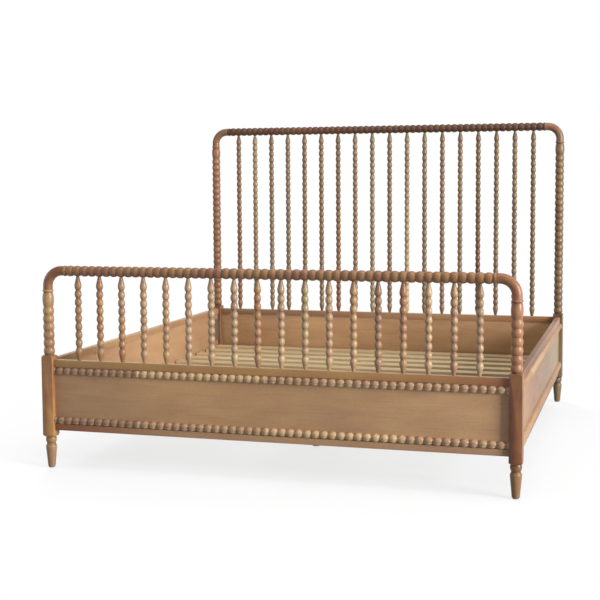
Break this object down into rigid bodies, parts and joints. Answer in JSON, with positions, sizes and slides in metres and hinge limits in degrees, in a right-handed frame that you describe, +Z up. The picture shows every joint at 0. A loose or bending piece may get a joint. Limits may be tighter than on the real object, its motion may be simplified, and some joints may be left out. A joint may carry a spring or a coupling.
{
  "type": "bed frame",
  "caption": "Wooden spindle bed frame with bobbin-turned headboard and footboard, panelled and beaded side rails, and a slatted base with levelling centre legs.",
  "frame": {"origin": "on the floor, under the middle of the bed", "axes": "+X to the right seen from the foot of the bed, +Y towards the headboard, +Z up"},
  "size_m": [2.037, 2.132, 1.5315],
  "materials": {
    "turned_wood": "brown stained and waxed, satin",
    "panel_wood": "brown stained and waxed, satin",
    "beading_wood": "brown stained and waxed, satin",
    "base_wood": "planed, unfinished",
    "zinc_steel": "zinc plated",
    "nylon": "moulded, matt"
  },
  "bodies": {
    "frame": {"beam_hangers": "zinc_steel", "catch_plate_screws": "zinc_steel", "centre_beam": "base_wood", "centre_leg_dowel_screws": "zinc_steel", "elbow_dowels": "base_wood", "foot_glides": "nylon", "footboard_bottom_rail": "panel_wood", "footboard_left_elbow": "turned_wood", "footboard_left_post": "turned_wood", "footboard_lower_beading": "beading_wood", "footboard_panel": "panel_wood", "footboard_right_elbow": "turned_wood", "footboard_right_post": "turned_wood", "footboard_spindle_rail": "panel_wood", "footboard_spindles_centre": "turned_wood", "footboard_spindles_left": "turned_wood", "footboard_spindles_right": "turned_wood", "footboard_top_rail": "turned_wood", "footboard_upper_beading": "beading_wood", "front_centre_leg": "base_wood", "hanger_screws": "zinc_steel", "headboard_bottom_rail": "panel_wood", "headboard_left_elbow": "turned_wood", "headboard_left_post": "turned_wood", "headboard_panel": "panel_wood", "headboard_right_elbow": "turned_wood", "headboard_right_post": "turned_wood", "headboard_spindle_rail": "panel_wood", "headboard_spindles_centre": "turned_wood", "headboard_spindles_left": "turned_wood", "headboard_spindles_right": "turned_wood", "headboard_top_rail": "turned_wood", "hook_plate_screws": "zinc_steel", "ledger_screws": "zinc_steel", "left_side_bottom_band": "panel_wood", "left_side_ledger": "base_wood", "left_side_lower_beading": "beading_wood", "left_side_panel": "panel_wood", "left_side_top_band": "panel_wood", "left_side_upper_beading": "beading_wood", "leveller_inserts": "zinc_steel", "post_catch_plates": "zinc_steel", "rail_hook_plates": "zinc_steel", "rear_centre_leg": "base_wood", "right_side_bottom_band": "panel_wood", "right_side_ledger": "base_wood", "right_side_lower_beading": "beading_wood", "right_side_panel": "panel_wood", "right_side_top_band": "panel_wood", "right_side_upper_beading": "beading_wood", "slat_screws": "zinc_steel", "slats": "base_wood"},
    "front_leveller": {"front_leveller_stem": "zinc_steel", "front_leveller_foot": "nylon"},
    "rear_leveller": {"rear_leveller_stem": "zinc_steel", "rear_leveller_foot": "nylon"}
  },
  "joints": [
    {"name": "front_leveller_height", "type": "slide", "parent": "frame", "child": "front_leveller", "axis": [0, 0, 1], "range_m": [-0.012, 0.012]},
    {"name": "rear_leveller_height", "type": "slide", "parent": "frame", "child": "rear_leveller", "axis": [0, 0, 1], "range_m": [-0.012, 0.012]}
  ]
}
